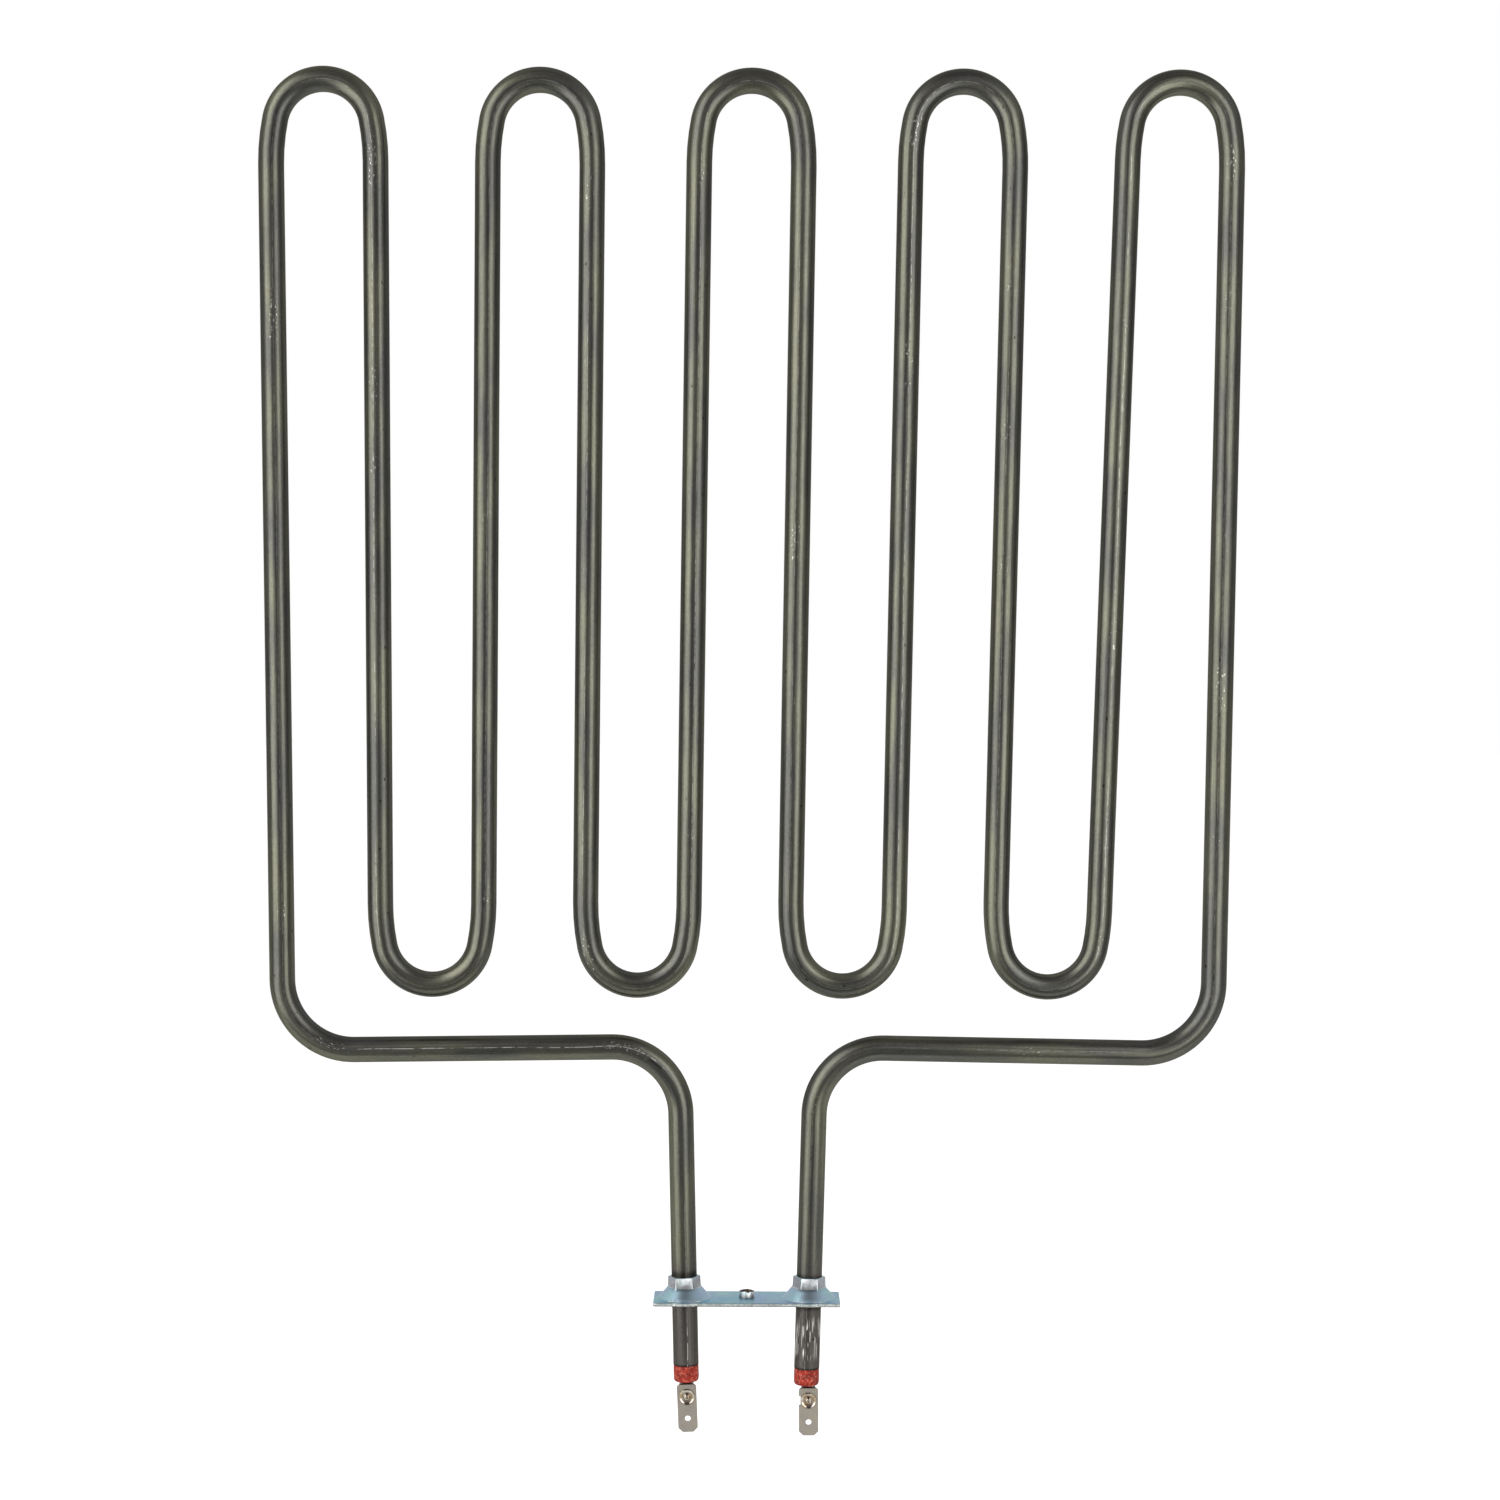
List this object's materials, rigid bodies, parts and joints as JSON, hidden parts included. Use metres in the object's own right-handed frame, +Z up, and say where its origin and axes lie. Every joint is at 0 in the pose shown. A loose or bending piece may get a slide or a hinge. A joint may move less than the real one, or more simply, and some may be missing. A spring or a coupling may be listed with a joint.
{
  "type": "tubular heating element",
  "caption": "Flat serpentine tubular heating element with a crimped threaded flange, rubber end seals and riveted flat tab terminals.",
  "frame": {"origin": "centre of the fixing thread on the flange's underside, the face that seats on the heater's base panel", "axes": "+Z up along the legs of the coil, +X to the right across the coil, +Y through the coil away from the side the tabs are riveted on"},
  "size_m": [0.3136, 0.0186, 0.4381],
  "materials": {
    "oxidised_steel": "dark heat-oxidised stainless steel, semi-gloss, with draw lines",
    "zinc_plate": "blue-passivated zinc on pressed steel, satin",
    "magnesium_oxide": "compacted powder, matt",
    "resistance_alloy": "drawn wire",
    "pin_steel": "dull plated steel",
    "sealing_resin": "cast resin",
    "red_seal": "mottled brick-red silicone, satin",
    "tab_metal": "nickel-plated steel strip, satin",
    "rivet_plating": "bright nickel with a warm tint"
  },
  "bodies": {
    "root": {"end_seal_left": "red_seal", "end_seal_right": "red_seal", "flange_plate": "zinc_plate", "insulation": "magnesium_oxide", "resin_plug_left": "sealing_resin", "resin_plug_right": "sealing_resin", "resistance_coil": "resistance_alloy", "rivet_left": "rivet_plating", "rivet_right": "rivet_plating", "sheath": "oxidised_steel", "tab_left": "tab_metal", "tab_right": "tab_metal", "terminal_pin_left": "pin_steel", "terminal_pin_right": "pin_steel"}
  },
  "joints": []
}
